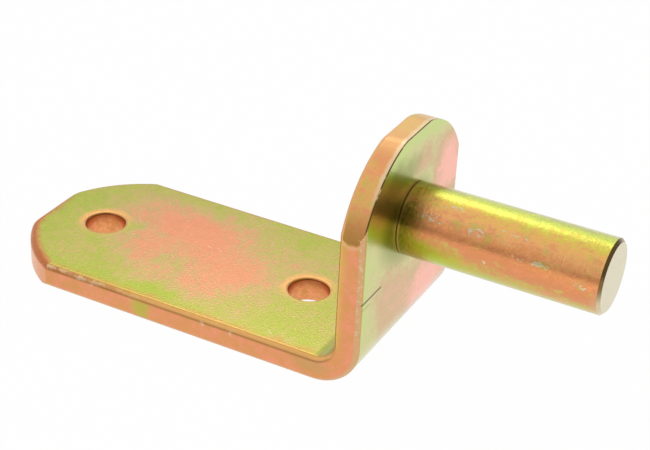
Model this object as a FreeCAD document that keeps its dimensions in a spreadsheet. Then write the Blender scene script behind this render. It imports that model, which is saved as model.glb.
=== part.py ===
import FreeCAD, Part
import math
import os

import Sketcher
from FreeCAD import Placement, Rotation, Vector

# Gate hinge pin: a bent flat-bar plate with a round pin riveted into its upright ear
# Frame: +X along the pin, +Y across the bar, +Z up from the mounting face
# Origin: midway between the two screw holes, on the mounting face

# Driving dimensions in millimetres
DIMENSIONS = [
    ("bar_width", 40.0),
    ("bar_thickness", 5.0),
    ("edge_radius", 1.2),
    ("plate_length", 81.0),
    ("ear_height", 45.0),
    ("bend_radius", 4.0),
    ("plate_corner_across", 13.0),
    ("plate_corner_along", 12.6),
    ("plate_corner_bulge", 1.6),
    ("ear_corner_across", 15.0),
    ("ear_corner_along", 13.0),
    ("ear_corner_bulge", 2.5),
    ("crop_blend_radius", 6.0),
    ("hole_diameter", 8.0),
    ("hole_setback", 20.5),
    ("hole_end_margin", 13.0),
    ("hole_rim_radius", 0.5),
    ("pin_diameter", 14.0),
    ("pin_length", 38.5),
    ("pin_height", 27.5),
    ("pin_tip_chamfer", 0.6),
    ("pin_root_chamfer", 0.15),
    ("pin_shoulder", 2.0),
    ("tenon_clearance", 0.05),
    ("rivet_overhang", 1.8),
    ("rivet_rim", 0.6),
    ("rivet_crown", 1.2),
    ("cut_overshoot", 3.0),
]

# Places that follow from the driving dimensions
HALF_SPACING = "(Dims.plate_length - Dims.hole_setback - Dims.hole_end_margin) / 2"
EAR_FACE = "(%s + Dims.hole_setback)" % HALF_SPACING
PLATE_END = "(%s + Dims.hole_end_margin)" % HALF_SPACING
TENON_RADIUS = "(Dims.pin_diameter / 2 - Dims.pin_shoulder)"
RIVET_RADIUS = "(Dims.pin_diameter / 2 - Dims.pin_shoulder + Dims.rivet_overhang)"

doc = FreeCAD.newDocument("GateHingePin")


def make_sheet():
    sheet = doc.addObject("Spreadsheet::Sheet", "Dims")
    for row, (alias, value) in enumerate(DIMENSIONS, start=1):
        sheet.set("A%d" % row, alias)
        sheet.set("B%d" % row, str(value))
        sheet.setAlias("B%d" % row, alias)
    doc.recompute()
    return sheet


sheet = make_sheet()
size = {alias: float(sheet.get(alias)) for alias, value in DIMENSIONS}
half_spacing = (size["plate_length"] - size["hole_setback"] - size["hole_end_margin"]) / 2
ear_face_x = half_spacing + size["hole_setback"]
plate_end_x = -half_spacing - size["hole_end_margin"]
half_width = size["bar_width"] / 2
tenon_radius = size["pin_diameter"] / 2 - size["pin_shoulder"]
rivet_radius = tenon_radius + size["rivet_overhang"]


# Helpers for bodies, sketches and features

def make_body(name):
    body = doc.addObject("PartDesign::Body", name)
    body.Label = name
    return body


def origin_plane(body, role):
    planes = [item for item in body.Origin.OriginFeatures if item.Role == role]
    return planes[0]


def make_sketch(body, name, role):
    sketch = body.newObject("Sketcher::SketchObject", name)
    sketch.AttachmentSupport = (origin_plane(body, role), [""])
    sketch.MapMode = "FlatFace"
    return sketch


def line(sketch, start, end):
    return sketch.addGeometry(Part.LineSegment(Vector(*start, 0), Vector(*end, 0)))


def arc(sketch, centre, start, end):
    # Runs anticlockwise from start to end round the centre
    radius = math.dist(centre, start)
    circle = Part.Circle(Vector(*centre, 0), Vector(0, 0, 1), radius)
    first = math.atan2(start[1] - centre[1], start[0] - centre[0])
    last = math.atan2(end[1] - centre[1], end[0] - centre[0])
    return sketch.addGeometry(Part.ArcOfCircle(circle, first, last))


def join(sketch, kind, ends):
    # Each pair of ends is (geometry, point, geometry, point)
    for pair in ends:
        sketch.addConstraint(Sketcher.Constraint(kind, *pair))


def drive(sketch, name, formula, kind, *reference):
    # A dimension that takes its value from the sheet
    index = sketch.addConstraint(Sketcher.Constraint(kind, *reference))
    sketch.renameConstraint(index, name)
    sketch.setExpression("Constraints." + name, formula)


def cut_through(body, sketch, name):
    pocket = body.newObject("PartDesign::Pocket", name)
    pocket.Profile = sketch
    pocket.SideType = "Symmetric"
    pocket.Type = "ThroughAll"
    doc.recompute()
    return pocket


def mirror_across(body, feature, name):
    mirrored = body.newObject("PartDesign::Mirrored", name)
    mirrored.Originals = [feature]
    mirrored.MirrorPlane = (origin_plane(body, "XZ_Plane"), [""])
    body.Tip = mirrored
    doc.recompute()
    return mirrored


def round_edges(body, name, alias, wanted):
    base = body.Tip
    edges = base.Shape.Edges
    names = ["Edge%d" % number for number, edge in enumerate(edges, start=1) if wanted(edge)]
    fillet = body.newObject("PartDesign::Fillet", name)
    fillet.Base = (base, names)
    fillet.Radius = size[alias]
    fillet.setExpression("Radius", "Dims." + alias)
    doc.recompute()
    return fillet


def close(value, target):
    return abs(value - target) < 1e-4


# Bent plate: side profile of the bar, the plate lying on the mounting face and the ear upright

def side_profile(body):
    sketch = make_sketch(body, "SideProfile", "XZ_Plane")
    thick = size["bar_thickness"]
    outer = size["bend_radius"] + thick
    centre = (ear_face_x - outer, outer)
    underside = line(sketch, (plate_end_x, 0), (centre[0], 0))
    outer_bend = arc(sketch, centre, (centre[0], 0), (ear_face_x, outer))
    front = line(sketch, (ear_face_x, outer), (ear_face_x, size["ear_height"]))
    top = line(sketch, (ear_face_x, size["ear_height"]), (ear_face_x - thick, size["ear_height"]))
    back = line(sketch, (ear_face_x - thick, size["ear_height"]), (ear_face_x - thick, outer))
    inner_bend = arc(sketch, centre, (centre[0], thick), (ear_face_x - thick, outer))
    upper = line(sketch, (centre[0], thick), (plate_end_x, thick))
    end = line(sketch, (plate_end_x, thick), (plate_end_x, 0))
    join(sketch, "Tangent", [
        (underside, 2, outer_bend, 1),
        (outer_bend, 2, front, 1),
        (back, 2, inner_bend, 2),
        (inner_bend, 1, upper, 1),
    ])
    join(sketch, "Coincident", [
        (front, 2, top, 1),
        (top, 2, back, 1),
        (upper, 2, end, 1),
        (end, 2, underside, 1),
        (outer_bend, 3, inner_bend, 3),
    ])
    for edge in (underside, top, upper):
        sketch.addConstraint(Sketcher.Constraint("Horizontal", edge))
    for edge in (front, back, end):
        sketch.addConstraint(Sketcher.Constraint("Vertical", edge))
    sketch.addConstraint(Sketcher.Constraint("PointOnObject", underside, 1, -1))
    drive(sketch, "ear_face", EAR_FACE, "DistanceX", -1, 1, front, 1, ear_face_x)
    drive(sketch, "plate_length", "Dims.plate_length", "DistanceX",
          underside, 1, front, 1, size["plate_length"])
    drive(sketch, "thickness", "Dims.bar_thickness", "DistanceY", end, 2, end, 1, thick)
    drive(sketch, "ear_height", "Dims.ear_height", "DistanceY", -1, 1, front, 2, size["ear_height"])
    drive(sketch, "bend_radius", "Dims.bend_radius", "Radius", inner_bend, size["bend_radius"])
    return sketch


def bend_bar(body):
    sketch = side_profile(body)
    pad = body.newObject("PartDesign::Pad", "BentBar")
    pad.Profile = sketch
    pad.SideType = "Symmetric"
    pad.Length = size["bar_width"]
    pad.setExpression("Length", "Dims.bar_width")
    doc.recompute()


# Cropped ends: a short flat with one outward-curved cut at each corner

def crop_corner(body, name, role, turn, end_place, end_formula, prefix):
    # Sketch X runs across the bar and sketch Y outward along it
    across = size[prefix + "_corner_across"]
    cut = size[prefix + "_corner_along"]
    bulge = size[prefix + "_corner_bulge"]
    over = size["cut_overshoot"]
    flat = half_width - across
    chord = math.hypot(across, cut)
    radius = chord * chord / (8 * bulge) + bulge / 2
    depth = (radius - bulge) / chord
    middle = ((half_width + flat) / 2, end_place - cut / 2)
    centre = (middle[0] - cut * depth, middle[1] - across * depth)
    sketch = make_sketch(body, name + "Outline", role)
    sketch.AttachmentOffset = Placement(Vector(0, 0, 0), Rotation(Vector(0, 0, 1), turn))
    curve = arc(sketch, centre, (half_width, end_place - cut), (flat, end_place))
    outward = line(sketch, (flat, end_place), (flat, end_place + over))
    beyond = line(sketch, (flat, end_place + over), (half_width + over, end_place + over))
    beside = line(sketch, (half_width + over, end_place + over), (half_width + over, end_place - cut))
    inward = line(sketch, (half_width + over, end_place - cut), (half_width, end_place - cut))
    join(sketch, "Coincident", [
        (curve, 2, outward, 1),
        (outward, 2, beyond, 1),
        (beyond, 2, beside, 1),
        (beside, 2, inward, 1),
        (inward, 2, curve, 1),
    ])
    for edge in (outward, beside):
        sketch.addConstraint(Sketcher.Constraint("Vertical", edge))
    for edge in (beyond, inward):
        sketch.addConstraint(Sketcher.Constraint("Horizontal", edge))
    corner = "Dims.%s_corner_" % prefix
    chord_squared = "(%sacross^2 + %salong^2)" % (corner, corner)
    radius_formula = "%s / (8 * %sbulge) + %sbulge / 2" % (chord_squared, corner, corner)
    drive(sketch, "half_width", "Dims.bar_width / 2", "DistanceX", -1, 1, curve, 1, half_width)
    drive(sketch, "end_place", end_formula, "DistanceY", -1, 1, curve, 2, end_place)
    drive(sketch, "across", corner + "across", "DistanceX", curve, 2, curve, 1, across)
    drive(sketch, "along", corner + "along", "DistanceY", curve, 1, curve, 2, cut)
    drive(sketch, "corner_radius", radius_formula, "Radius", curve, radius)
    drive(sketch, "over_end", "Dims.cut_overshoot", "DistanceY", outward, 1, outward, 2, over)
    drive(sketch, "over_side", "Dims.cut_overshoot", "DistanceX", inward, 2, inward, 1, over)
    pocket = cut_through(body, sketch, name)
    return mirror_across(body, pocket, name + "OtherSide")


def is_crop_corner(edge):
    # Edges through the thickness where a flat end meets its corner cuts
    box = edge.BoundBox
    plate_corner = close(box.XMin, plate_end_x) and close(box.XMax, plate_end_x)
    ear_corner = close(box.ZMin, size["ear_height"]) and close(box.ZMax, size["ear_height"])
    through_plate = plate_corner and close(box.YLength, 0)
    through_ear = ear_corner and close(box.YLength, 0)
    return through_plate or through_ear


def is_rounded_edge(edge):
    # The rolled long edges, and the cropped ends on the inner face; the crop leaves the outer ones sharp
    box = edge.BoundBox
    thick = size["bar_thickness"]
    back_x = ear_face_x - thick
    on_side = close(box.YMin, box.YMax) and close(abs(box.YMin), half_width)
    at_plate_end = box.XMax < plate_end_x + size["plate_corner_along"] + 1e-4
    at_ear_end = box.ZMin > size["ear_height"] - size["ear_corner_along"] - 1e-4
    if edge.isClosed():
        return False
    if at_plate_end:
        return close(box.ZMin, thick) and close(box.ZMax, thick)
    if at_ear_end:
        return close(box.XMin, back_x) and close(box.XMax, back_x)
    return on_side


# Punched holes

def punch_screw_holes(body):
    sketch = make_sketch(body, "ScrewHoles", "XY_Plane")
    radius = size["hole_diameter"] / 2
    for name, side in (("far", -1), ("near", 1)):
        centre = Vector(side * half_spacing, 0, 0)
        hole = sketch.addGeometry(Part.Circle(centre, Vector(0, 0, 1), radius))
        sketch.addConstraint(Sketcher.Constraint("PointOnObject", hole, 3, -1))
        ends = (hole, 3, -1, 1) if side < 0 else (-1, 1, hole, 3)
        drive(sketch, name + "_place", HALF_SPACING, "DistanceX", *ends, half_spacing)
        drive(sketch, name + "_diameter", "Dims.hole_diameter", "Diameter", hole, size["hole_diameter"])
    cut_through(body, sketch, "ScrewHolePunch")


def is_hole_rim(edge):
    box = edge.BoundBox
    on_top = close(box.ZMin, size["bar_thickness"]) and close(box.ZMax, size["bar_thickness"])
    across = close(box.XLength, size["hole_diameter"])
    return on_top and across and close(box.YLength, size["hole_diameter"])


def punch_tenon_hole(body):
    sketch = make_sketch(body, "TenonHole", "YZ_Plane")
    radius = tenon_radius + size["tenon_clearance"]
    centre = Vector(0, size["pin_height"], 0)
    hole = sketch.addGeometry(Part.Circle(centre, Vector(0, 0, 1), radius))
    sketch.addConstraint(Sketcher.Constraint("PointOnObject", hole, 3, -2))
    drive(sketch, "pin_height", "Dims.pin_height", "DistanceY", -1, 1, hole, 3, size["pin_height"])
    drive(sketch, "hole_radius", TENON_RADIUS + " + Dims.tenon_clearance", "Radius", hole, radius)
    cut_through(body, sketch, "TenonHolePunch")


def build_bent_plate():
    body = make_body("bent_plate")
    bend_bar(body)
    crop_corner(body, "PlateCrop", "XY_Plane", 90, -plate_end_x, PLATE_END, "plate")
    crop_corner(body, "EarCrop", "YZ_Plane", 0, size["ear_height"], "Dims.ear_height", "ear")
    round_edges(body, "CropCorners", "crop_blend_radius", is_crop_corner)
    punch_screw_holes(body)
    round_edges(body, "HoleRims", "hole_rim_radius", is_hole_rim)
    punch_tenon_hole(body)
    round_edges(body, "RoundedEdges", "edge_radius", is_rounded_edge)
    return body


# Hinge pin: turned from round bar, its tenon riveted over behind the ear

def pin_profile(body):
    # Sketch X runs along the pin from the ear's front face, sketch Y is the radius
    sketch = make_sketch(body, "PinProfile", "XZ_Plane")
    radius = size["pin_diameter"] / 2
    length = size["pin_length"]
    tip = size["pin_tip_chamfer"]
    root = size["pin_root_chamfer"]
    thick = size["bar_thickness"]
    rim = -thick - size["rivet_rim"]
    crown = rim - size["rivet_crown"]
    dome = (rivet_radius ** 2 + size["rivet_crown"] ** 2) / (2 * size["rivet_crown"])
    corners = [
        (rim, rivet_radius),
        (-thick, rivet_radius),
        (-thick, tenon_radius),
        (0, tenon_radius),
        (0, radius - root),
        (root, radius),
        (length - tip, radius),
        (length, radius - tip),
        (length, 0),
        (crown, 0),
    ]
    sides = [line(sketch, start, end) for start, end in zip(corners, corners[1:])]
    head = arc(sketch, (crown + dome, 0), corners[0], corners[-1])
    rivet_edge, rivet_seat, tenon, shoulder, root_cone, shank, tip_cone, tip_face, axis = sides
    join(sketch, "Coincident", [(first, 2, second, 1) for first, second in zip(sides, sides[1:])])
    join(sketch, "Coincident", [(head, 1, rivet_edge, 1), (head, 2, axis, 2)])
    for edge in (rivet_edge, tenon, shank):
        sketch.addConstraint(Sketcher.Constraint("Horizontal", edge))
    for edge in (rivet_seat, shoulder, tip_face):
        sketch.addConstraint(Sketcher.Constraint("Vertical", edge))
    sketch.addConstraint(Sketcher.Constraint("PointOnObject", axis, 1, -1))
    sketch.addConstraint(Sketcher.Constraint("PointOnObject", axis, 2, -1))
    sketch.addConstraint(Sketcher.Constraint("PointOnObject", head, 3, -1))
    sketch.addConstraint(Sketcher.Constraint("PointOnObject", shoulder, 1, -2))
    drive(sketch, "pin_radius", "Dims.pin_diameter / 2", "DistanceY", -1, 1, shank, 1, radius)
    drive(sketch, "pin_length", "Dims.pin_length", "DistanceX", -1, 1, tip_face, 1, length)
    drive(sketch, "tip_length", "Dims.pin_tip_chamfer", "DistanceX", tip_cone, 1, tip_cone, 2, tip)
    drive(sketch, "tip_height", "Dims.pin_tip_chamfer", "DistanceY", tip_cone, 2, tip_cone, 1, tip)
    drive(sketch, "root_length", "Dims.pin_root_chamfer", "DistanceX", root_cone, 1, root_cone, 2, root)
    drive(sketch, "root_height", "Dims.pin_root_chamfer", "DistanceY", root_cone, 1, root_cone, 2, root)
    drive(sketch, "tenon_radius", TENON_RADIUS, "DistanceY", -1, 1, tenon, 1, tenon_radius)
    drive(sketch, "tenon_length", "Dims.bar_thickness", "DistanceX", tenon, 1, tenon, 2, thick)
    drive(sketch, "rivet_radius", RIVET_RADIUS, "DistanceY", -1, 1, rivet_edge, 1, rivet_radius)
    drive(sketch, "rivet_rim", "Dims.rivet_rim", "DistanceX",
          rivet_edge, 1, rivet_edge, 2, size["rivet_rim"])
    drive(sketch, "rivet_crown", "Dims.rivet_crown", "DistanceX",
          axis, 2, rivet_edge, 1, size["rivet_crown"])
    return sketch


def build_hinge_pin():
    body = make_body("hinge_pin")
    sketch = pin_profile(body)
    turned = body.newObject("PartDesign::Revolution", "TurnedPin")
    turned.Profile = sketch
    turned.ReferenceAxis = (sketch, ["H_Axis"])
    turned.Angle = 360
    body.setExpression("Placement.Base.x", EAR_FACE)
    body.setExpression("Placement.Base.z", "Dims.pin_height")
    doc.recompute()
    return body


def check_document(bodies):
    for item in doc.Objects:
        if "Invalid" in item.State or "Error" in item.State:
            raise RuntimeError("%s did not build: %s" % (item.Name, item.State))
    for body in bodies:
        if body.Shape.isNull() or not body.Shape.isValid():
            raise RuntimeError("%s has no valid shape" % body.Label)


def export(bodies):
    os.makedirs("parts", exist_ok=True)
    for body in bodies:
        body.Shape.exportStep("parts/%s.step" % body.Label)


bodies = [build_bent_plate(), build_hinge_pin()]
check_document(bodies)
export(bodies)
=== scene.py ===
"""Gate hinge pin: a flat bar bent into a plate and an ear, with a riveted pin, in yellow-chromated zinc."""

import math

import bpy
from mathutils import Matrix, Vector


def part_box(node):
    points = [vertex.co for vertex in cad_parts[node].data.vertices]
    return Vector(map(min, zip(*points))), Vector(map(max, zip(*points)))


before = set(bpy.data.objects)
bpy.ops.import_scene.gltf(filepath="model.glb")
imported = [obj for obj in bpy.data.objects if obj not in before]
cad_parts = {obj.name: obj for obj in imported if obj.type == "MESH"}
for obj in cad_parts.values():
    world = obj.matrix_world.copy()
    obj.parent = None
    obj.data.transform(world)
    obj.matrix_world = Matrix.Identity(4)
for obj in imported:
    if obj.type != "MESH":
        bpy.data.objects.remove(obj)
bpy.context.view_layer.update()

# The frame's own sizes, in millimetres
MM = 1000.0
plate_low, plate_high = (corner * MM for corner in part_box("bent_plate"))
pin_low, pin_high = (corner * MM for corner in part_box("hinge_pin"))
EAR_FACE = plate_high.x
EAR_TOP = plate_high.z
PLATE_END = plate_low.x
HALF_WIDTH = plate_high.y
PIN_TIP = pin_high.x
PIN_AXIS_Z = (pin_low.z + pin_high.z) / 2
PIN_RADIUS = pin_high.y
BAR_THICKNESS = 5.0
BEND_RADIUS = 4.0
BEND_AXIS_X = EAR_FACE - BAR_THICKNESS - BEND_RADIUS
BEND_AXIS_Z = BAR_THICKNESS + BEND_RADIUS
HOLE_RADIUS = 4.0
HOLE_X = 23.75

# The photograph's camera, in the same frame
CAMERA_AZIMUTH = 26.735
CAMERA_ELEVATION = 30.225
CAMERA_ROLL = 2.989
CAMERA_DISTANCE = 306.859
CAMERA_TARGET = Vector((26.475, 0.0, 20.241))
FOCAL_PIXELS = 1630.839
IMAGE_WIDTH = 650
SENSOR_WIDTH = 36.0
CLIP_START = 0.01

# The clear chromate film over the metal
COAT = 0.25
COAT_ROUGHNESS = 0.2


def paint(red, green, blue):
    """A colour written as it shows on a screen, from 0 to 255, as Blender's linear colour."""
    def linear(value):
        value = value / 255
        return value / 12.92 if value <= 0.04045 else ((value + 0.055) / 1.055) ** 2.4
    return (linear(red), linear(green), linear(blue), 1.0)


class Shader:
    """A node tree that is written as short calls, one for each kind of node."""

    def __init__(self, tree):
        self.nodes = tree.nodes
        self.links = tree.links
        self.nodes.clear()

    def node(self, kind, **settings):
        made = self.nodes.new(kind)
        for name, value in settings.items():
            setattr(made, name, value)
        return made

    def put(self, socket, value):
        if isinstance(value, bpy.types.NodeSocket):
            self.links.new(value, socket)
        else:
            socket.default_value = value

    def maths(self, operation, *values, clamp=False):
        made = self.node("ShaderNodeMath", operation=operation, use_clamp=clamp)
        for socket, value in zip(made.inputs, values):
            self.put(socket, value)
        return made.outputs[0]

    def plus(self, first, second):
        return self.maths("ADD", first, second)

    def minus(self, first, second):
        return self.maths("SUBTRACT", first, second)

    def times(self, first, second):
        return self.maths("MULTIPLY", first, second)

    def vector(self, operation, *values):
        made = self.node("ShaderNodeVectorMath", operation=operation)
        for socket, value in zip(made.inputs, values):
            self.put(socket, value)
        number = operation in ("LENGTH", "DOT_PRODUCT")
        return made.outputs["Value" if number else "Vector"]

    def scaled(self, vector, factor):
        made = self.node("ShaderNodeVectorMath", operation="SCALE")
        self.put(made.inputs[0], vector)
        self.put(made.inputs["Scale"], factor)
        return made.outputs["Vector"]

    def parts(self, vector):
        made = self.node("ShaderNodeSeparateXYZ")
        self.put(made.inputs[0], vector)
        return made.outputs

    def joined(self, x, y, z):
        made = self.node("ShaderNodeCombineXYZ")
        for socket, value in zip(made.inputs, (x, y, z)):
            self.put(socket, value)
        return made.outputs[0]

    def ease(self, value, start, end):
        """0 before start, 1 after end and a smooth step between, also where start is above end."""
        made = self.node("ShaderNodeMapRange", interpolation_type="SMOOTHSTEP")
        flip = start > end
        low, high = (end, start) if flip else (start, end)
        for socket, number in zip(made.inputs, (value, low, high, float(flip), float(not flip))):
            self.put(socket, number)
        return made.outputs[0]

    def noise(self, point, scale, detail=2.0, roughness=0.5, output="Fac"):
        made = self.node("ShaderNodeTexNoise")
        settings = {"Vector": point, "Scale": scale, "Detail": detail, "Roughness": roughness}
        for name, value in settings.items():
            self.put(made.inputs[name], value)
        return made.outputs[output]

    def mix(self, factor, first, second):
        made = self.node("ShaderNodeMix", data_type="RGBA")
        for socket, value in zip((made.inputs[0], made.inputs[6], made.inputs[7]), (factor, first, second)):
            self.put(socket, value)
        return made.outputs[2]

    def ramp(self, value, stops):
        made = self.node("ShaderNodeValToRGB")
        line = made.color_ramp.elements
        for position, colour in stops[1:-1]:
            line.new(position).color = colour
        line[0].position, line[0].color = stops[0]
        line[len(line) - 1].position, line[len(line) - 1].color = stops[-1]
        self.put(made.inputs[0], value)
        return made.outputs[0]

    def total(self, values):
        added = values[0]
        for value in values[1:]:
            added = self.plus(added, value)
        return added


class Plating(Shader):
    """The plated metal's tree: where a point is, which way it faces, and the finish of both pieces."""

    def __init__(self, name):
        self.material = bpy.data.materials.new(name)
        self.material.use_nodes = True
        super().__init__(self.material.node_tree)
        where = self.node("ShaderNodeTexCoord")
        self.point = self.scaled(where.outputs["Object"], MM)
        self.facing = where.outputs["Normal"]
        self.x, self.y, self.z = self.parts(self.point)

    def wandering(self, reach, scale):
        """The point, moved about by slow noise so that patches get uneven outlines."""
        drift = self.vector("SUBTRACT", self.noise(self.point, scale, 2.0, 0.6, "Color"), (0.5, 0.5, 0.5))
        return self.vector("ADD", self.point, self.scaled(drift, reach))

    def about_nothing(self, noise, amount):
        """Noise from minus to plus half of the amount."""
        return self.times(self.minus(noise, 0.5), amount)

    def patch(self, point, centre, radii, amount, inner):
        """A soft-edged ellipsoid of the film, from amount at its heart to nothing at its rim."""
        offset = self.vector("DIVIDE", self.vector("SUBTRACT", point, centre), radii)
        heart = self.ease(self.vector("LENGTH", offset), 1.0, inner)
        return self.times(heart, amount)

    def scratches(self, along, across, turn, threshold):
        """Short fine marks, as noise drawn out in one direction and cut off high."""
        mapping = self.node("ShaderNodeMapping")
        self.put(mapping.inputs["Vector"], self.point)
        mapping.inputs["Rotation"].default_value = turn
        stretched = self.vector("MULTIPLY", mapping.outputs[0], (1 / along, 1 / across, 1 / across))
        return self.ease(self.noise(stretched, 1.0, 1.0, 0.4), threshold, threshold + 0.06)

    def finish(self, colour, roughness, height, depth):
        """The metal itself, with its colour, roughness and relief, under the thin clear chromate film."""
        metal = self.node("ShaderNodeBsdfPrincipled")
        relief = self.node("ShaderNodeBump")
        relief.inputs["Strength"].default_value = 1.0
        relief.inputs["Distance"].default_value = depth / MM
        self.put(relief.inputs["Height"], height)
        metal.inputs["Metallic"].default_value = 1.0
        metal.inputs["Coat Weight"].default_value = COAT
        metal.inputs["Coat Roughness"].default_value = COAT_ROUGHNESS
        self.put(metal.inputs["Base Color"], colour)
        self.put(metal.inputs["Roughness"], roughness)
        self.put(metal.inputs["Normal"], relief.outputs["Normal"])
        output = self.node("ShaderNodeOutputMaterial")
        self.links.new(metal.outputs[0], output.inputs["Surface"])
        return self.material


# Colours of the chromate film on the bar's broad faces, from its thin green to its thick salmon
FILM = (
    (0.0, paint(178, 190, 66)),
    (0.25, paint(192, 186, 88)),
    (0.5, paint(208, 178, 114)),
    (0.75, paint(230, 164, 116)),
    (1.0, paint(240, 158, 114)),
)
FILM_BIAS = 0.2
# The same film on the ear's front, which is smoother and paler
EAR_FILM = (
    (0.0, paint(196, 212, 116)),
    (0.25, paint(208, 200, 130)),
    (0.55, paint(208, 170, 116)),
    (1.0, paint(254, 180, 158)),
)
# Cut edges: salmon along the bar, amber round the ear's end, cream on the plate's end
EDGE_SALMON = ((0.3, paint(222, 162, 88)), (0.47, paint(232, 158, 102)), (0.64, paint(246, 158, 122)))
EDGE_AMBER = ((0.34, paint(230, 198, 108)), (0.46, paint(250, 196, 114)), (0.58, paint(255, 176, 120)))
EDGE_CREAM = paint(238, 196, 146)
# Painted shade on the ear's cut end: brown above the break, darker still where the break sags
EDGE_BROWN_SHADE = paint(198, 142, 64)
EDGE_SHADE = paint(164, 118, 54)
EDGE_SHOULDER = paint(255, 158, 112)
EDGE_TAN = paint(226, 200, 122)
EDGE_GREEN = paint(192, 190, 74)
EDGE_YELLOW = paint(222, 184, 82)
EDGE_OLIVE = paint(200, 164, 98)
# Patches on the cut edges: salmon on the ear's shoulder, green on the plate's side, olive under the bend
SHOULDER_PLACE = (EAR_FACE - BAR_THICKNESS / 2, -7.5, 45.0)
SHOULDER_REACH = (7.0, 8.5, 4.6)
GREEN_PLACE = (-2.0, -HALF_WIDTH, 2.5)
GREEN_REACH = (2.8, 3.0, 3.6)
UNDER_BEND_PLACE = (35.0, -HALF_WIDTH, 3.4)
UNDER_BEND_REACH = (6.0, 4.0, 2.6)
# Rounded edges: an ochre start beside the face, partly painted shade over the soft box's highlight, a bright
# fringe, partly painted light, cream or worn on the left, a brown line that is a painted dark reflection
FRINGE_START_FILM_AND_SHADE = paint(212, 152, 80)
FRINGE_FILM_AND_LIGHT = paint(255, 192, 116)
FRINGE_LEFT = paint(248, 206, 150)
FRINGE_WORN = paint(214, 140, 84)
OUTER_EDGE = paint(226, 176, 128)
# A painted dark reflection along the rounding
FRINGE_DARK_REFLECTION = paint(166, 106, 58)
# The crop's drawn-over end, worn spots, whose colour also gives a painted highlight along the ear's break,
# the burr with its painted highlight and shade, the holes, scratches and press marks
ROLLOVER = paint(208, 122, 66)
WORN_AND_RIDGE_HIGHLIGHT = paint(240, 220, 184)
# The burr: a thin dark line, partly painted shade of the edge, and a cream painted highlight
BURR_LINE_AND_SHADE = paint(104, 70, 30)
BURR_HIGHLIGHT = paint(250, 226, 180)
HOLE_RING = paint(246, 184, 110)
HOLE_TOP = paint(150, 84, 34)
HOLE_WALL = ((0.38, paint(222, 150, 78)), (0.6, paint(248, 166, 112)))
FLECK = paint(236, 226, 196)
TOOL_MARK = paint(104, 70, 22)

# Patches on the plate's top, in x, y, half length, half width, amount, which is below nothing for thin film
TOP_PATCHES = (
    (-10.0, 9.0, 21.0, 11.0, 0.60),
    (-2.0, 3.0, 26.0, 15.0, 0.70),
    (10.0, -4.0, 15.0, 10.0, 0.50),
    (-13.0, -4.0, 10.0, 8.0, 0.45),
    (-10.0, -9.5, 11.0, 6.0, 0.45),
    (3.0, -11.0, 15.0, 7.0, 0.40),
    (22.0, 9.0, 16.0, 8.0, 0.15),
    (-18.5, 2.0, 5.0, 5.0, -0.45),
    (-32.0, 0.0, 9.0, 17.0, -0.20),
    (-8.0, -17.5, 30.0, 3.5, -0.30),
    (27.0, -14.0, 14.0, 6.0, -0.15),
)
TOP_PATCH_DEPTH = 6.0
# Patches on the ear's front, in y, z, half width, half height, amount
EAR_PATCHES = (
    (16.0, 33.0, 11.0, 13.0, 0.95),
    (3.0, 38.0, 8.0, 5.0, 0.35),
    (10.0, 10.0, 19.0, 11.0, 0.85),
    (-8.0, 14.0, 11.0, 12.0, 0.45),
    (-19.0, 19.0, 2.5, 16.0, -0.25),
    (-9.0, 42.0, 7.0, 4.0, -0.35),
)
EAR_PATCH_DEPTH = 9.0
# Darker green on the ear, in the corner round the pin: partly the film, partly painted shade and reflection
# of the pin
EAR_CORNER_FILM_AND_SHADE = paint(140, 146, 42)
EAR_CORNER_REACH = 2.5
EAR_CORNER_STRETCH = 0.6
# Painted reflection and shade of the pin, in the corner's colour, above the pin on the near side, as y, z,
# half width, half height
EAR_PIN_REFLECTION_AND_SHADE = (-6.0, 38.5, 11.0, 5.0)
# Marks that the press left across the ear's front, in height, near end, far end, strength
PRESS_MARKS = ((18.9, -19.2, -11.8, 0.95), (17.6, -19.0, -16.0, 0.3))
PRESS_MARK_WIDTH = 0.28
# Where the rolled edge stops and the cropped end of the ear starts, lower in the middle of the thickness
BREAK_Z = 32.0
BREAK_SAG = 1.3
# Nicks in the plate's front edge, by their x
NICKS = (-13.4, 11.9, 18.0)
NICK_REACH = (0.6, 0.8, 0.8)
# Corner cuts of the bar's ends, as reach across the bar, reach along it and bulge
PLATE_CROP = (13.0, 12.6, 1.6)
EAR_CROP = (15.0, 13.0, 2.5)
FAR_INSIDE = 200.0
# Depth of the bar's fine relief, in millimetres
BAR_RELIEF = 0.03


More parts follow.
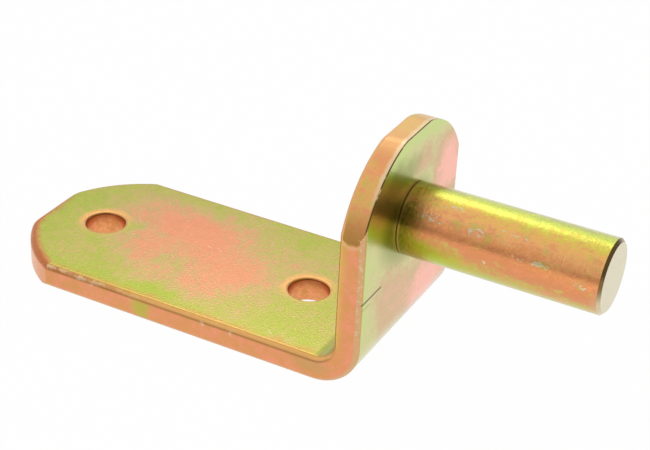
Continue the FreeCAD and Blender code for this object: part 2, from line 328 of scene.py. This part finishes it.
class BarFilm(Plating):
    """The film on the bent bar, laid in layers from its broad faces to its edges, holes and marks."""

    def __init__(self):
        super().__init__("plated_bar_film")
        self.signed = self.thickness_facing()
        self.broad = self.maths("ABSOLUTE", self.signed)
        self.inner = self.ease(self.signed, 0.05, -0.1)
        outside = self.ease(self.signed, 0.3, 0.8)
        self.front = self.times(self.ease(self.x, EAR_FACE - 3.0, EAR_FACE - 0.5), outside)
        self.cut = self.ease(self.broad, 0.4, 0.15)
        self.end_depth = self.crop_depth(self.times(self.x, -1.0), -PLATE_END, PLATE_CROP)
        self.ear_depth = self.crop_depth(self.z, EAR_TOP, EAR_CROP)
        self.over_break = self.height_over_break()
        self.upper = self.ease(self.over_break, -0.4, 0.4)

    def thickness_facing(self):
        """How far a point faces along the thickness: 1 outside the bend, -1 inside it, 0 on a cut edge."""
        out_x = self.maths("MAXIMUM", self.minus(self.x, BEND_AXIS_X), 0.0)
        out_z = self.maths("MINIMUM", self.minus(self.z, BEND_AXIS_Z), 0.0)
        outward = self.vector("NORMALIZE", self.joined(out_x, 0.0, out_z))
        return self.vector("DOT_PRODUCT", self.facing, outward)

    def crop_depth(self, along, end, crop):
        """How far a point lies inside a cropped end's outline; far inside where the crop does not reach."""
        across, cut, bulge = crop
        chord = math.hypot(across, cut)
        radius = chord * chord / (8 * bulge) + bulge / 2
        slope = (radius - bulge) / chord
        off_y = self.minus(self.maths("ABSOLUTE", self.y), HALF_WIDTH - across / 2 - cut * slope)
        off_along = self.minus(along, end - cut / 2 - across * slope)
        from_arc = self.minus(radius, self.vector("LENGTH", self.joined(off_y, off_along, 0.0)))
        depth = self.maths("MINIMUM", self.minus(end, along), from_arc)
        beyond = self.ease(along, end - cut, end - cut - 2.0)
        return self.maths("MULTIPLY_ADD", beyond, FAR_INSIDE, depth)

    def height_over_break(self):
        """How far a point lies above the break on the ear's side, which sags between the two faces."""
        half = BAR_THICKNESS / 2
        off_middle = self.maths("DIVIDE", self.minus(self.x, EAR_FACE - half), half)
        sag = self.maths("MULTIPLY_ADD", self.times(off_middle, off_middle), -BREAK_SAG, BREAK_SAG)
        uneven = self.about_nothing(self.noise(self.point, 0.6, 2.0), 1.0)
        return self.total([self.minus(self.z, BREAK_Z), sag, uneven])

    def mottling(self):
        """Uneven film on every face: slow clouds, cloudlets and two sizes of grain."""
        drawn = self.vector("MULTIPLY", self.point, (1.0, 0.6, 1.0))
        slow = self.about_nothing(self.noise(drawn, 0.09, 3.0, 0.55), 0.7)
        cloudlets = self.about_nothing(self.noise(drawn, 0.4, 4.0, 0.65), 0.6)
        fine = self.about_nothing(self.noise(drawn, 1.3, 4.0, 0.8), 1.2)
        finest = self.about_nothing(self.noise(drawn, 3.2, 2.0, 0.7), 0.9)
        return self.total([slow, cloudlets, fine, finest])

    def broad_colour(self, uneven):
        """The bar's broad faces: salmon patches on a green film."""
        loose = self.wandering(8.0, 0.13)
        patches = [self.patch(loose, (x, y, BAR_THICKNESS), (half_x, half_y, TOP_PATCH_DEPTH), amount, 0.0)
                   for x, y, half_x, half_y, amount in TOP_PATCHES]
        return self.ramp(self.total([self.plus(uneven, FILM_BIAS), *patches]), FILM)

    def ear_colour(self, uneven):
        """The ear's front: pink patches on a pale green film, greenest beside its cropped end, and darker
        green round the pin, partly film and partly painted shade and reflection of the pin.
        """
        loose = self.wandering(7.0, 0.15)
        patches = [self.patch(loose, (EAR_FACE, y, z), (EAR_PATCH_DEPTH, half_y, half_z), amount, 0.1)
                   for y, z, half_y, half_z, amount in EAR_PATCHES]
        rim = self.times(self.ease(self.ear_depth, 4.0, 0.5), -0.25)
        calm = self.maths("MULTIPLY_ADD", uneven, 0.55, FILM_BIAS)
        colour = self.ramp(self.total([calm, rim, *patches]), EAR_FILM)
        # Partly film, partly painted shade and reflection of the pin: darker green round its root and above
        # it on the near side
        above_axis = self.minus(self.z, PIN_AXIS_Z)
        sideways = self.maths("MAXIMUM", self.y, self.times(self.y, EAR_CORNER_STRETCH))
        from_pin = self.vector("LENGTH", self.joined(sideways, above_axis, 0.0))
        corner = self.ease(from_pin, PIN_RADIUS + EAR_CORNER_REACH, PIN_RADIUS - 1.5)
        y, z, half_y, half_z = EAR_PIN_REFLECTION_AND_SHADE
        pin_reflection_and_shade = self.patch(loose, (EAR_FACE, y, z), (EAR_PATCH_DEPTH, half_y, half_z), 0.8, 0.2)
        dark = self.maths("MAXIMUM", self.times(corner, 0.85), pin_reflection_and_shade)
        return self.mix(dark, colour, EAR_CORNER_FILM_AND_SHADE)

    def edge_colour(self):
        """Cut edges: salmon on the long sides, amber on the ear's end, going to a painted shade of brown
        above the break with a pale line along it that is partly wear and partly painted highlight, cream on
        the plate's.
        """
        clouds = self.noise(self.vector("MULTIPLY", self.point, (0.7, 1.0, 0.7)), 0.45, 5.0, 0.7)
        mottle = self.plus(clouds, self.about_nothing(self.noise(self.point, 2.0, 3.0, 0.75), 0.5))
        colour = self.mix(self.upper, self.ramp(mottle, EDGE_SALMON), self.ramp(mottle, EDGE_AMBER))
        # Painted shade: brown over the six millimetres above the break, darkest just at the break where it
        # sags
        low = self.times(self.upper, self.ease(self.z, BREAK_Z + 6.0, BREAK_Z))
        colour = self.mix(self.times(low, 0.7), colour, EDGE_BROWN_SHADE)
        sag_shade = self.times(self.upper, self.ease(self.z, BREAK_Z + 0.2, BREAK_Z - 0.2))
        colour = self.mix(self.times(sag_shade, 0.8), colour, EDGE_SHADE)
        shoulder = self.patch(self.wandering(4.0, 0.3), SHOULDER_PLACE, SHOULDER_REACH, 1.0, 0.3)
        colour = self.mix(shoulder, colour, EDGE_SHOULDER)
        top = self.times(self.ease(self.z, EAR_TOP - 3.0, EAR_TOP - 0.5), 0.5)
        colour = self.mix(top, colour, EDGE_TAN)
        end = self.times(self.ease(self.x, PLATE_END + 12.0, PLATE_END + 5.0), 0.5)
        colour = self.mix(end, colour, EDGE_CREAM)
        green = self.patch(self.wandering(3.0, 0.4), GREEN_PLACE, GREEN_REACH, 0.8, 0.3)
        colour = self.mix(green, colour, EDGE_GREEN)
        under_bend = self.patch(self.wandering(4.0, 0.3), UNDER_BEND_PLACE, UNDER_BEND_REACH, 0.6, 0.2)
        colour = self.mix(under_bend, colour, EDGE_OLIVE)
        from_inner = self.minus(self.x, EAR_FACE - BAR_THICKNESS)
        strayed = self.plus(from_inner, self.about_nothing(self.noise(self.point, 0.4, 4.0, 0.7), 3.0))
        strip = self.times(self.ease(strayed, 2.0, 0.8), self.ease(self.z, 7.0, 11.0))
        lower = self.minus(0.75, self.times(self.upper, 0.75))
        colour = self.mix(self.times(strip, lower), colour, EDGE_YELLOW)
        # Along the break: a pale line, partly wear and partly a painted highlight of the ridge
        ridge = self.ease(self.maths("ABSOLUTE", self.plus(self.over_break, 0.5)), 0.5, 0.1)
        return self.mix(self.times(ridge, 0.25), colour, WORN_AND_RIDGE_HIGHLIGHT)

    def with_edges(self, colour):
        """Rounded edges: an ochre start, partly painted shade over the soft box's highlight, and a bright
        fringe, partly painted light, beside the face, then a brown line that is a painted dark reflection.
        """
        from_side = self.minus(HALF_WIDTH, self.maths("ABSOLUTE", self.y))
        strayed = self.plus(from_side, self.about_nothing(self.noise(self.point, 0.3, 5.0, 0.7), 5.0))
        near_side = self.times(self.ease(self.y, 0.0, -10.0), self.inner)
        warm = self.times(self.ease(strayed, 3.0, 0.4), near_side)
        # Painted shade: the ochre start of the rounding damps the soft box's highlight; the warm band along
        # the near side is the film
        start = self.maths("MAXIMUM", self.ease(self.broad, 0.998, 0.985), warm)
        colour = self.mix(self.times(start, 0.75), colour, FRINGE_START_FILM_AND_SHADE)
        face = self.plus(self.broad, self.about_nothing(self.noise(self.point, 0.7, 4.0, 0.6), 0.1))
        worn = self.ease(self.noise(self.point, 0.4, 4.0, 0.6), 0.56, 0.44)
        left = self.mix(worn, FRINGE_LEFT, FRINGE_WORN)
        # The bright fringe is the film's orange, lightened as painted light where the rounding reflects the
        # dimmer sky
        bright = self.mix(self.ease(self.x, -20.0, 4.0), left, FRINGE_FILM_AND_LIGHT)
        fringe = self.times(self.ease(face, 0.97, 0.88), 0.9)
        colour = self.mix(fringe, colour, self.mix(self.inner, OUTER_EDGE, bright))
        colour = self.mix(self.ease(self.broad, 0.45, 0.2), colour, self.edge_colour())
        # A painted dark reflection: a brown line along the rounding, nearer the face on the ear
        reflection_place = self.maths("MULTIPLY_ADD", self.ease(self.z, 6.0, 14.0), 0.36, 0.41)
        off_line = self.maths("ABSOLUTE", self.minus(self.broad, reflection_place))
        line = self.times(self.ease(off_line, 0.2, 0.08), self.inner)
        return self.mix(self.times(line, 0.5), colour, FRINGE_DARK_REFLECTION)

    def with_rollover(self, colour):
        """The plate's end, where the crop drew the top over: a red-brown band, carried on along the front."""
        band = self.plus(self.end_depth, self.about_nothing(self.noise(self.point, 0.5, 3.0), 2.0))
        near = self.times(self.ease(self.y, 9.0, -6.0), self.ease(self.signed, -0.1, -0.3))
        front_side = self.ease(self.y, 3.0 - HALF_WIDTH, 1.0 - HALF_WIDTH)
        low_edge = self.times(front_side, self.ease(self.broad, 0.76, 0.56))
        along_front = self.times(self.ease(self.x, -8.0, -24.0), low_edge)
        uneven = self.about_nothing(self.noise(self.point, 0.8, 4.0, 0.7), 1.0)
        tail = self.times(along_front, self.maths("MULTIPLY_ADD", uneven, 2.0, 0.6))
        drawn = self.maths("MAXIMUM", self.ease(band, 2.6, 0.6), self.maths("MINIMUM", tail, 0.8))
        return self.mix(self.times(drawn, near), colour, ROLLOVER)

    def with_chips(self, colour):
        """Pale worn spots along the front edge's left half and down the ear's near edge, and nicks."""
        spots = self.noise(self.vector("MULTIPLY", self.point, (0.7, 1.0, 0.7)), 1.9, 4.0, 0.7)
        rounding = self.times(self.ease(self.broad, 0.98, 0.85), self.ease(self.broad, 0.25, 0.45))
        off_end = self.ease(self.x, PLATE_END + 8.0, PLATE_END + 13.0)
        left = self.times(self.ease(self.x, -6.0, -20.0), off_end)
        up_ear = self.times(self.ease(self.z, 7.0, 12.0), self.ease(self.inner, 0.6, 0.2))
        likely = self.total([spots, self.times(left, 0.09), self.times(up_ear, 0.08)])
        worn = self.times(self.ease(likely, 0.6, 0.68), rounding)
        ragged = self.wandering(1.6, 1.0)
        nicks = [self.patch(ragged, (x, 0.3 - HALF_WIDTH, BAR_THICKNESS - 1.0), NICK_REACH, 0.9, 0.3)
                 for x in NICKS]
        return self.mix(self.times(self.total([worn, *nicks]), 0.55), colour, WORN_AND_RIDGE_HIGHLIGHT)

    def with_burr(self, colour):
        """The ear's cropped end: a cream strip along the cut's front that is a painted highlight, and a thin
        dark line at its edge, partly the burr's own and partly painted shade.
        """
        from_front = self.minus(EAR_FACE, self.x)
        here = self.times(self.ease(self.z, BREAK_Z - 0.5, BREAK_Z + 1.0), self.cut)
        wander = self.plus(from_front, self.about_nothing(self.noise(self.point, 0.6, 3.0), 0.9))
        # A painted highlight: the cream strip along the cut's front
        cream = self.times(self.ease(wander, 1.3, 0.7), self.ease(self.z, BREAK_Z + 4.0, BREAK_Z + 9.0))
        colour = self.mix(self.times(self.times(cream, here), 0.8), colour, BURR_HIGHLIGHT)
        # Partly the burr's line, partly painted shade of the sharp edge
        line = self.times(self.ease(from_front, 0.36, 0.2), here)
        broken = self.ease(self.noise(self.point, 0.5, 3.0), 0.24, 0.46)
        return self.mix(self.times(line, broken), colour, BURR_LINE_AND_SHADE)

    def with_holes(self, colour):
        """Rings round the screw holes, strongest on their far left, and the walls, dark at the top."""
        sideways = self.minus(self.maths("ABSOLUTE", self.x), HOLE_X)
        turned = self.times(sideways, self.maths("SIGN", self.x))
        away = self.vector("LENGTH", self.joined(sideways, self.y, 0.0))
        far_left = self.minus(self.y, turned)
        strength = self.maths("MULTIPLY_ADD", self.ease(far_left, -4.0, 5.0), 0.75, 0.2)
        reach = self.plus(away, self.about_nothing(self.noise(self.point, 0.8, 3.0), 1.2))
        ring = self.times(self.ease(reach, HOLE_RADIUS + 2.2, HOLE_RADIUS + 0.8), strength)
        colour = self.mix(ring, colour, HOLE_RING)
        inside = self.ease(away, HOLE_RADIUS + 0.4, HOLE_RADIUS + 0.1)
        wall = self.times(inside, self.ease(self.broad, 0.8, 0.4))
        bare = self.ramp(self.noise(self.point, 0.9, 4.0, 0.7), HOLE_WALL)
        deep = self.mix(self.times(self.ease(self.z, 2.6, 4.8), 0.7), bare, HOLE_TOP)
        return self.mix(wall, colour, deep)

    def press_marks(self):
        """Thin straight marks across the ear's front."""
        marks = []
        for height, near, far, strength in PRESS_MARKS:
            off = self.maths("ABSOLUTE", self.minus(self.z, height))
            line = self.ease(off, PRESS_MARK_WIDTH, PRESS_MARK_WIDTH / 3)
            start = self.ease(self.y, near - 0.6, near + 0.4)
            stop = self.ease(self.y, far + 0.6, far - 0.6)
            stretch = self.times(line, self.times(start, stop))
            marks.append(self.times(stretch, strength))
        return self.times(self.total(marks), self.front)


def bar_material():
    s = BarFilm()
    uneven = s.mottling()
    colour = s.mix(s.front, s.broad_colour(uneven), s.ear_colour(uneven))
    for layer in (s.with_edges, s.with_rollover, s.with_chips, s.with_burr, s.with_holes):
        colour = layer(colour)
    level_scratches = s.scratches(4.0, 0.3, (0, 0, 0.5), 0.75)
    slanting_scratches = s.scratches(2.5, 0.25, (0.3, 0.2, -0.9), 0.75)
    marks = s.maths("MAXIMUM", level_scratches, slanting_scratches)
    colour = s.mix(s.times(marks, 0.4), colour, FLECK)
    pressed = s.press_marks()
    colour = s.mix(pressed, colour, TOOL_MARK)
    grain = s.noise(s.point, 2.4, 3.0, 0.6)
    height = s.minus(grain, s.maths("MULTIPLY_ADD", marks, 0.5, s.times(pressed, 3.0)))
    roughness = s.maths("MULTIPLY_ADD", s.noise(s.point, 0.5, 3.0), 0.14, 0.15)
    roughness = s.maths("MULTIPLY_ADD", s.ease(s.broad, 1.0, 0.97), 0.18, roughness)
    return s.finish(colour, roughness, height, BAR_RELIEF)


# Colours round the pin, by the angle from facing the photograph's front, upwards, in degrees: the film's
# colours with painted reflection laid in
PIN_FILM_AND_REFLECTION_BANDS = (
    (-180, paint(214, 166, 88)),
    (-120, paint(200, 190, 82)),
    (-75, paint(192, 190, 96)),
    (-40, paint(186, 194, 78)),
    (-26, paint(206, 182, 88)),
    (-10, paint(222, 148, 100)),
    (8, paint(228, 148, 94)),
    (24, paint(244, 162, 100)),
    (42, paint(255, 184, 120)),
    (60, paint(252, 196, 110)),
    (72, paint(236, 214, 92)),
    # The brightest band, along the top, is a painted highlight of the soft box
    (86, paint(240, 250, 108)),
    (97, paint(222, 234, 108)),
    (110, paint(204, 204, 130)),
    (150, paint(228, 160, 100)),
    (180, paint(214, 166, 88)),
)
# Towards the tip the bands widen by a share, and turn down by degrees, for each millimetre
PIN_MIDDLE_ANGLE = 33.0
PIN_WIDENING = 0.004
PIN_TURN = 0.45
# Darker green round the pin's root: partly the film, partly painted shade in the corner
PIN_ROOT_FILM_AND_SHADE = paint(150, 140, 30)
PIN_ROOT_REACH = 6.0
# A painted highlight: a pale ring on the pin beside its joint with the ear
PIN_JOINT_HIGHLIGHT = paint(232, 192, 128)
PIN_LOWER_GREEN = paint(182, 194, 38)
# The lower green patch, and its reach, in x and angle
PIN_LOWER_PLACE = (46.0, -30.0, 0.0)
PIN_LOWER_REACH = (17.0, 46.0, 1.0)
PIN_RELIEF = 0.035
PIN_END = paint(218, 206, 166)
# The tip's chamfer: brown film, darkened above and made pale below as painted reflection
PIN_CHAMFER_FILM_AND_REFLECTION = paint(132, 104, 60)
PIN_CHAMFER_PALE_REFLECTION = paint(214, 196, 156)
PIN_GREEN = paint(200, 200, 92)
PIN_SALMON = paint(240, 152, 112)
# Clusters of pale flecks, in x, angle, half length and half angle
PIN_FLECKS = (
    (50.0, 38.0, 4.0, 12.0),
    (54.0, 64.0, 3.5, 9.0),
    (58.5, 36.0, 3.5, 13.0),
    (61.0, -4.0, 1.4, 6.0),
    (66.0, 50.0, 6.0, 8.0),
    (70.0, 19.0, 6.0, 8.0),
    (79.0, 4.0, 3.0, 10.0),
)


class PinFilm(Plating):
    """The film on the pin, laid in bands round it that hold painted reflection, with blotches, flecks, a
    green root partly darkened as painted shade, a painted highlight at the joint and painted reflection at
    the tip.
    """

    def __init__(self):
        super().__init__("plated_pin_film")
        self.facing_x = self.parts(self.facing)[0]
        turn = self.maths("ARCTAN2", self.minus(self.z, PIN_AXIS_Z), self.times(self.y, -1.0))
        self.angle = self.maths("DEGREES", turn)
        self.mottle = self.noise(self.point, 0.7, 5.0, 0.7)

    def bands(self):
        """Colour by angle, with wandering borders."""
        from_middle = self.minus(self.angle, PIN_MIDDLE_ANGLE)
        along = self.minus((EAR_FACE + PIN_TIP) / 2, self.x)
        spread = self.maths("MULTIPLY_ADD", along, PIN_WIDENING, 1.0)
        turned = self.maths("MULTIPLY_ADD", along, -PIN_TURN, PIN_MIDDLE_ANGLE)
        angle = self.maths("MULTIPLY_ADD", from_middle, spread, turned)
        drawn_out = self.vector("MULTIPLY", self.point, (0.4, 0.7, 0.7))
        drift = self.about_nothing(self.noise(drawn_out, 0.7, 6.0, 0.75), 60.0)
        grain = self.about_nothing(self.noise(self.point, 2.2, 3.0, 0.7), 50.0)
        share = self.maths("MULTIPLY_ADD", self.total([angle, drift, grain]), 1 / 360, 0.5)
        return self.ramp(share, [(stop / 360 + 0.5, colour) for stop, colour in PIN_FILM_AND_REFLECTION_BANDS])

    def with_blotches(self, colour):
        """Yellow-green and salmon clouds of the film, and fine grain."""
        drawn_out = self.vector("MULTIPLY", self.point, (0.6, 1.0, 1.0))
        green = self.ease(self.noise(drawn_out, 0.45, 5.0, 0.7), 0.52, 0.68)
        salmon = self.ease(self.noise(drawn_out, 0.6, 5.0, 0.7), 0.5, 0.66)
        below = self.ease(self.angle, 82.0, 62.0)
        colour = self.mix(self.times(self.times(green, below), 0.65), colour, PIN_GREEN)
        colour = self.mix(self.times(self.times(salmon, below), 0.6), colour, PIN_SALMON)
        swirl = self.maths("MULTIPLY_ADD", self.about_nothing(self.mottle, 1.0), 50.0, self.angle)
        lower = self.patch(self.joined(self.x, swirl, 0.0), PIN_LOWER_PLACE, PIN_LOWER_REACH, 0.85, 0.35)
        return self.mix(lower, colour, PIN_LOWER_GREEN)

    def with_root(self, colour):
        """Darker green in the corner between pin and ear, partly film and partly painted shade, weaker on the
        top of the pin, and a pale painted highlight beside the joint.
        """
        place = self.plus(self.x, self.about_nothing(self.mottle, 5.0))
        # Partly film, partly painted shade: darker green near the ear, weaker on the top of the pin
        root = self.ease(place, EAR_FACE + PIN_ROOT_REACH, EAR_FACE + 1.0)
        strength = self.maths("MULTIPLY_ADD", self.ease(self.angle, 35.0, 70.0), -0.6, 0.8)
        grain = self.about_nothing(self.noise(self.point, 1.5, 4.0, 0.75), 2.4)
        strength = self.maths("ADD", strength, grain, clamp=True)
        colour = self.mix(self.times(root, strength), colour, PIN_ROOT_FILM_AND_SHADE)
        # A painted highlight: a pale ring beside the joint
        joint = self.times(self.ease(self.x, EAR_FACE + 0.7, EAR_FACE + 0.3), 0.7)
        return self.mix(joint, colour, PIN_JOINT_HIGHLIGHT)

    def with_tip(self, colour):
        """The sawn end, paler, and its chamfer, brown film darkened above and made pale below as painted
        reflection, which reaches a little onto the pin near the tip.
        """
        # Painted reflection: pale on the lower side of the tip and its chamfer
        pale_reflection_below = self.ease(self.angle, 12.0, -22.0)
        near_tip = self.times(self.ease(self.x, PIN_TIP - 2.4, PIN_TIP - 1.0), pale_reflection_below)
        colour = self.mix(self.times(near_tip, 0.3), colour, PIN_CHAMFER_PALE_REFLECTION)
        colour = self.mix(self.ease(self.facing_x, 0.75, 0.95), colour, PIN_END)
        chamfer = self.times(self.ease(self.facing_x, 0.2, 0.5), self.ease(self.facing_x, 0.97, 0.85))
        return self.mix(chamfer, colour, self.mix(pale_reflection_below, PIN_CHAMFER_FILM_AND_REFLECTION, PIN_CHAMFER_PALE_REFLECTION))

    def flecks(self):
        """Pale flecks in clusters, and a thin scatter of them elsewhere."""
        speckle = self.noise(self.vector("MULTIPLY", self.point, (0.7, 1.0, 1.0)), 1.6, 3.0, 0.6)
        place = self.joined(self.x, self.angle, 0.0)
        clusters = [self.patch(place, (x, angle, 0.0), (half, half_angle, 1.0), 0.2, 0.2)
                    for x, angle, half, half_angle in PIN_FLECKS]
        return self.ease(self.total([speckle, *clusters]), 0.69, 0.76)


def pin_material():
    s = PinFilm()
    colour = s.bands()
    for layer in (s.with_blotches, s.with_root, s.with_tip):
        colour = layer(colour)
    flecks = s.flecks()
    colour = s.mix(s.times(flecks, 0.6), colour, FLECK)
    turning = s.noise(s.vector("MULTIPLY", s.point, (5.0, 0.3, 0.3)), 1.0, 3.0, 0.6)
    grain = s.noise(s.point, 1.6, 5.0, 0.7)
    height = s.maths("MULTIPLY_ADD", turning, 0.7, s.maths("MULTIPLY_ADD", flecks, 0.5, grain))
    roughness = s.maths("MULTIPLY_ADD", s.mottle, 0.18, 0.15)
    return s.finish(colour, roughness, height, PIN_RELIEF)


# The floor shows white to the camera and in the metal, and keeps a faint shadow under the object
FLOOR_HALF = 3.0
FLOOR_GLOW = 0.985
FLOOR_COLOUR = (0.9, 0.9, 0.9, 1.0)


def floor():
    mesh = bpy.data.meshes.new("studio_floor")
    corners = [(x * FLOOR_HALF, y * FLOOR_HALF, 0.0) for x, y in ((-1, -1), (1, -1), (1, 1), (-1, 1))]
    mesh.from_pydata(corners, [], [(0, 1, 2, 3)])
    made = bpy.data.objects.new("studio_floor", mesh)
    bpy.context.scene.collection.objects.link(made)
    material = bpy.data.materials.new("studio_floor_white")
    material.use_nodes = True
    s = Shader(material.node_tree)
    rays = s.node("ShaderNodeLightPath").outputs
    mirrored = s.maths("MAXIMUM", rays["Is Glossy Ray"], rays["Is Transmission Ray"])
    seen = s.maths("MAXIMUM", rays["Is Camera Ray"], mirrored)
    matt = s.node("ShaderNodeBsdfDiffuse")
    matt.inputs["Color"].default_value = FLOOR_COLOUR
    glow = s.node("ShaderNodeEmission")
    both = s.node("ShaderNodeMixShader")
    s.put(both.inputs[0], s.times(seen, FLOOR_GLOW))
    s.links.new(matt.outputs[0], both.inputs[1])
    s.links.new(glow.outputs[0], both.inputs[2])
    s.links.new(both.outputs[0], s.node("ShaderNodeOutputMaterial").inputs["Surface"])
    mesh.materials.append(material)


# The studio: bright on the left and above, dimmer on the right, on the photographer's side and low in front
RIGHT_SIDE_DIM = 0.52
CAMERA_SIDE_DIM = 0.6
HORIZON_DIM = 0.45
SOFT_BOX_PLACE = (-0.39, 0.57, 0.74)
SOFT_BOX_SIZE = 0.35
SOFT_BOX_WATTS = 0.54


def camera_axes():
    """The camera's right, up and back directions."""
    azimuth = math.radians(CAMERA_AZIMUTH)
    elevation = math.radians(CAMERA_ELEVATION)
    level = math.cos(elevation)
    back = Vector((math.sin(azimuth) * level, -math.cos(azimuth) * level, math.sin(elevation)))
    roll = Matrix.Rotation(math.radians(CAMERA_ROLL), 3, back)
    right = roll @ Vector((math.cos(azimuth), math.sin(azimuth), 0.0))
    return right, back.cross(right), back


def studio():
    world = bpy.data.worlds.new("studio")
    bpy.context.scene.world = world
    world.use_nodes = True
    s = Shader(world.node_tree)
    towards = s.node("ShaderNodeTexCoord").outputs["Generated"]
    sideways, depth, height = s.parts(towards)
    right_side = s.times(s.ease(sideways, -0.1, 0.35), RIGHT_SIDE_DIM)
    behind = s.vector("DOT_PRODUCT", towards, tuple(camera_axes()[2]))
    camera_side = s.times(s.ease(behind, 0.78, 0.96), CAMERA_SIDE_DIM)
    low = s.ease(s.maths("ABSOLUTE", height), 0.4, 0.08)
    horizon = s.times(s.times(low, s.ease(depth, 0.2, -0.4)), HORIZON_DIM)
    light = s.minus(1.0, right_side)
    for dimming in (camera_side, horizon):
        light = s.times(light, s.minus(1.0, dimming))
    background = s.node("ShaderNodeBackground")
    s.put(background.inputs["Strength"], light)
    s.links.new(background.outputs[0], s.node("ShaderNodeOutputWorld").inputs["Surface"])


def lamp(name, place, size, watts):
    """A square soft box that faces the object."""
    data = bpy.data.lights.new(name, "AREA")
    data.size = size
    data.energy = watts
    made = bpy.data.objects.new(name, data)
    bpy.context.scene.collection.objects.link(made)
    made.location = place
    made.rotation_euler = (-Vector(place)).to_track_quat("-Z", "Y").to_euler()


def camera():
    right, up, back = camera_axes()
    data = bpy.data.cameras.new("photo_camera")
    data.sensor_width = SENSOR_WIDTH
    data.lens = FOCAL_PIXELS * SENSOR_WIDTH / IMAGE_WIDTH
    data.clip_start = CLIP_START
    made = bpy.data.objects.new("photo_camera", data)
    bpy.context.scene.collection.objects.link(made)
    place = Matrix((right, up, back)).transposed().to_4x4()
    place.translation = (CAMERA_TARGET + back * CAMERA_DISTANCE) / MM
    made.matrix_world = place
    bpy.context.scene.camera = made


def dress(node, material):
    node.data.materials.clear()
    node.data.materials.append(material)


bpy.context.scene.view_settings.view_transform = "Standard"
dress(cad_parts["bent_plate"], bar_material())
dress(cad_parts["hinge_pin"], pin_material())
floor()
studio()
lamp("soft_box", SOFT_BOX_PLACE, SOFT_BOX_SIZE, SOFT_BOX_WATTS)
camera()
